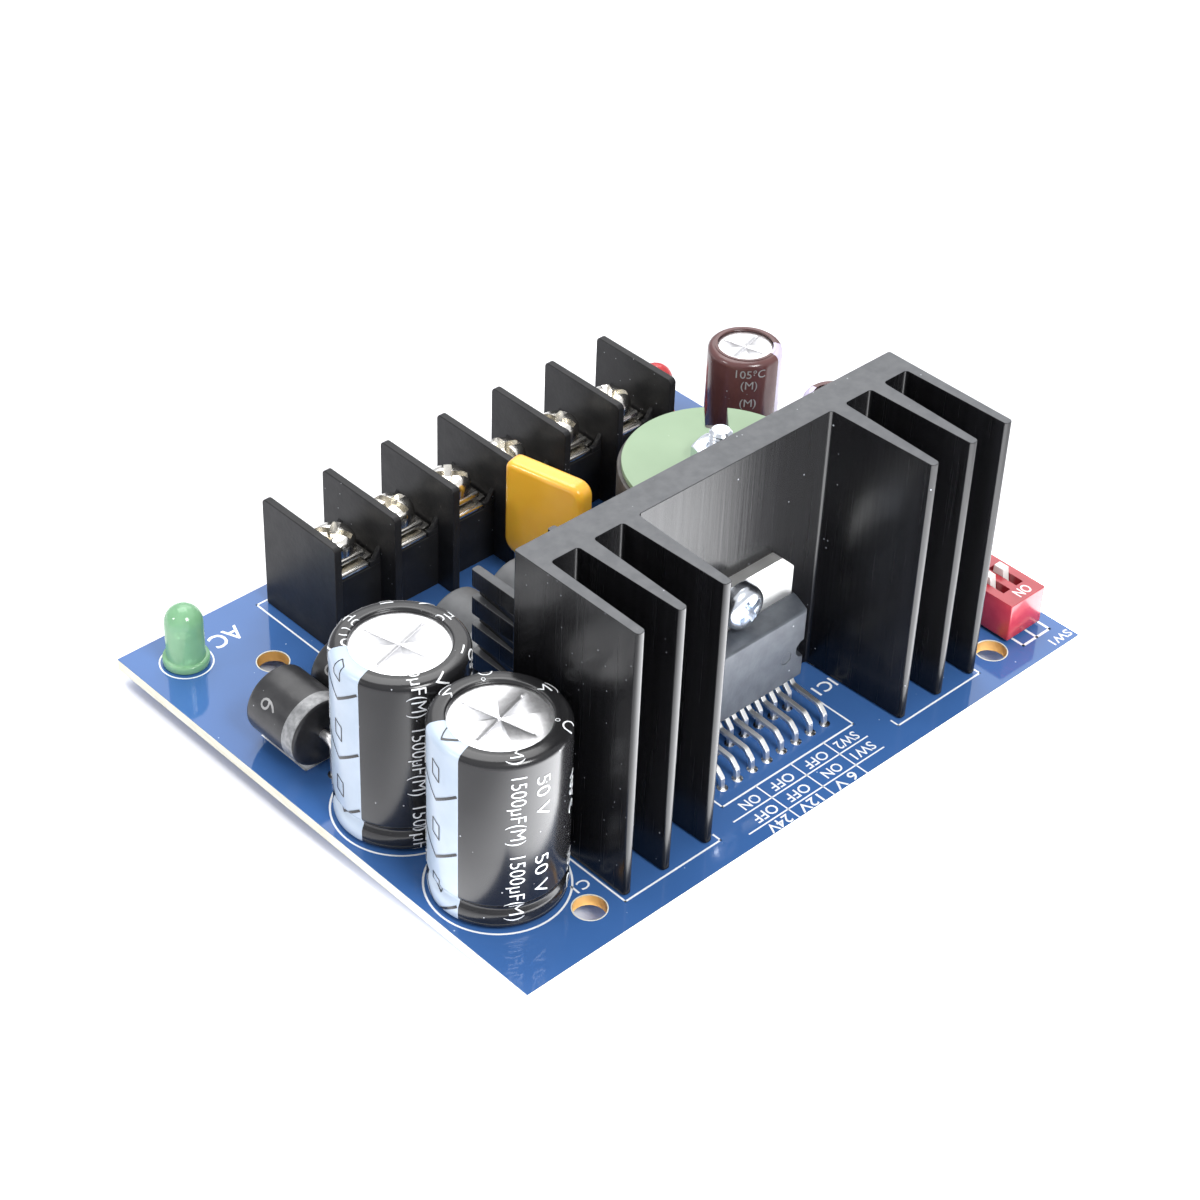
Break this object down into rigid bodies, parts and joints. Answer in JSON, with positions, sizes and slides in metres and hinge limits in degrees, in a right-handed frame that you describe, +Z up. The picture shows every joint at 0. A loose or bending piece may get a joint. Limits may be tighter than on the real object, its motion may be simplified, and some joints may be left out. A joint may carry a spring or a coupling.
{
  "type": "open frame power supply",
  "caption": "Open frame power supply board with screw terminals, bridge diodes, a finned heatsink with its regulator, a pot core inductor, capacitors and a setting switch.",
  "frame": {"origin": "centre of the board's outline, at the lowest solder joints under it", "axes": "+X along the board's long edge, with the capacitors at -X; +Y towards the terminal block; +Z up"},
  "size_m": [0.0952, 0.0762, 0.0419],
  "materials": {
    "board": "glass-fibre board with a glossy blue mask",
    "solder": "bright solder",
    "black_plastic": "black moulded thermoset",
    "tinned_metal": "tin plated",
    "zinc_plated_steel": "bright zinc plating",
    "black_anodised": "black anodised",
    "package_epoxy": "moulded epoxy",
    "package_tab": "tin plated copper",
    "ferrite": "ground ferrite",
    "winding": "enamelled copper wire on a former",
    "green_disc": "pale green insulating sheet",
    "black_sleeve": "shrunk vinyl sleeve",
    "brown_sleeve": "shrunk vinyl sleeve",
    "can": "drawn aluminium",
    "diode_body": "moulded epoxy",
    "fuse_coating": "dipped coating",
    "green_lens": "clear tinted epoxy",
    "red_lens": "clear tinted epoxy",
    "switch_red": "red moulded plastic",
    "switch_white": "white plastic"
  },
  "bodies": {
    "board": {"pcb": "board", "solder_joints": "solder", "terminal_block_housing": "black_plastic", "terminal_contacts": "tinned_metal", "regulator_leads": "tinned_metal", "rectifier_leads": "tinned_metal", "capacitor_leads": "tinned_metal", "diode_leads": "tinned_metal", "fuse_leads": "tinned_metal", "lamp_leads": "tinned_metal", "switch_pins": "tinned_metal", "main_heatsink_pins": "tinned_metal", "regulator_screw": "zinc_plated_steel", "rectifier_screw": "zinc_plated_steel", "rectifier_nut": "zinc_plated_steel", "inductor_screw": "zinc_plated_steel", "inductor_nut": "zinc_plated_steel", "main_heatsink": "black_anodised", "small_heatsink": "black_anodised", "regulator_body": "package_epoxy", "rectifier_body": "package_epoxy", "regulator_tab": "package_tab", "rectifier_tab": "package_tab", "inductor_core_lower": "ferrite", "inductor_core_upper": "ferrite", "inductor_coil": "winding", "inductor_disc": "green_disc", "capacitor_1_sleeve": "black_sleeve", "capacitor_2_sleeve": "black_sleeve", "capacitor_3_sleeve": "brown_sleeve", "capacitor_4_sleeve": "brown_sleeve", "capacitor_1_can": "can", "capacitor_2_can": "can", "capacitor_3_can": "can", "capacitor_4_can": "can", "diode_1": "diode_body", "diode_2": "diode_body", "diode_3": "diode_body", "diode_4": "diode_body", "fuse_body": "fuse_coating", "green_lamp": "green_lens", "red_lamp": "red_lens", "switch_housing": "switch_red"},
    "clamp_1": {"terminal_clamp_1": "zinc_plated_steel"},
    "screw_1": {"terminal_screw_1": "zinc_plated_steel"},
    "clamp_2": {"terminal_clamp_2": "zinc_plated_steel"},
    "screw_2": {"terminal_screw_2": "zinc_plated_steel"},
    "clamp_3": {"terminal_clamp_3": "zinc_plated_steel"},
    "screw_3": {"terminal_screw_3": "zinc_plated_steel"},
    "clamp_4": {"terminal_clamp_4": "zinc_plated_steel"},
    "screw_4": {"terminal_screw_4": "zinc_plated_steel"},
    "clamp_5": {"terminal_clamp_5": "zinc_plated_steel"},
    "screw_5": {"terminal_screw_5": "zinc_plated_steel"},
    "clamp_6": {"terminal_clamp_6": "zinc_plated_steel"},
    "screw_6": {"terminal_screw_6": "zinc_plated_steel"},
    "slider_1": {"switch_slider_1": "switch_white"},
    "slider_2": {"switch_slider_2": "switch_white"}
  },
  "joints": [
    {"name": "clamp_1_lift", "type": "slide", "parent": "board", "child": "clamp_1", "axis": [0, 0, 1], "range_m": [0, 0.003]},
    {"name": "screw_1_turn", "type": "hinge", "parent": "clamp_1", "child": "screw_1", "pos_m": [-0.02126, 0.0278, 0.013], "axis": [0, 0, 1], "range_deg": [0, 1800]},
    {"name": "clamp_2_lift", "type": "slide", "parent": "board", "child": "clamp_2", "axis": [0, 0, 1], "range_m": [0, 0.003]},
    {"name": "screw_2_turn", "type": "hinge", "parent": "clamp_2", "child": "screw_2", "pos_m": [-0.01174, 0.0278, 0.013], "axis": [0, 0, 1], "range_deg": [0, 1800]},
    {"name": "clamp_3_lift", "type": "slide", "parent": "board", "child": "clamp_3", "axis": [0, 0, 1], "range_m": [0, 0.003]},
    {"name": "screw_3_turn", "type": "hinge", "parent": "clamp_3", "child": "screw_3", "pos_m": [-0.00221, 0.0278, 0.013], "axis": [0, 0, 1], "range_deg": [0, 1800]},
    {"name": "clamp_4_lift", "type": "slide", "parent": "board", "child": "clamp_4", "axis": [0, 0, 1], "range_m": [0, 0.003]},
    {"name": "screw_4_turn", "type": "hinge", "parent": "clamp_4", "child": "screw_4", "pos_m": [0.00731, 0.0278, 0.013], "axis": [0, 0, 1], "range_deg": [0, 1800]},
    {"name": "clamp_5_lift", "type": "slide", "parent": "board", "child": "clamp_5", "axis": [0, 0, 1], "range_m": [0, 0.003]},
    {"name": "screw_5_turn", "type": "hinge", "parent": "clamp_5", "child": "screw_5", "pos_m": [0.01684, 0.0278, 0.013], "axis": [0, 0, 1], "range_deg": [0, 1800]},
    {"name": "clamp_6_lift", "type": "slide", "parent": "board", "child": "clamp_6", "axis": [0, 0, 1], "range_m": [0, 0.003]},
    {"name": "screw_6_turn", "type": "hinge", "parent": "clamp_6", "child": "screw_6", "pos_m": [0.02636, 0.0278, 0.013], "axis": [0, 0, 1], "range_deg": [0, 1800]},
    {"name": "switch_1_slide", "type": "slide", "parent": "board", "child": "slider_1", "axis": [0, -1, 0], "range_m": [0, 0.0019]},
    {"name": "switch_2_slide", "type": "slide", "parent": "board", "child": "slider_2", "axis": [0, -1, 0], "range_m": [0, 0.0019]}
  ],
  "couplings": [
    {"joint": "screw_1_turn", "follows": "clamp_1_lift", "rad_per_m": 10472},
    {"joint": "screw_2_turn", "follows": "clamp_2_lift", "rad_per_m": 10472},
    {"joint": "screw_3_turn", "follows": "clamp_3_lift", "rad_per_m": 10472},
    {"joint": "screw_4_turn", "follows": "clamp_4_lift", "rad_per_m": 10472},
    {"joint": "screw_5_turn", "follows": "clamp_5_lift", "rad_per_m": 10472},
    {"joint": "screw_6_turn", "follows": "clamp_6_lift", "rad_per_m": 10472}
  ]
}
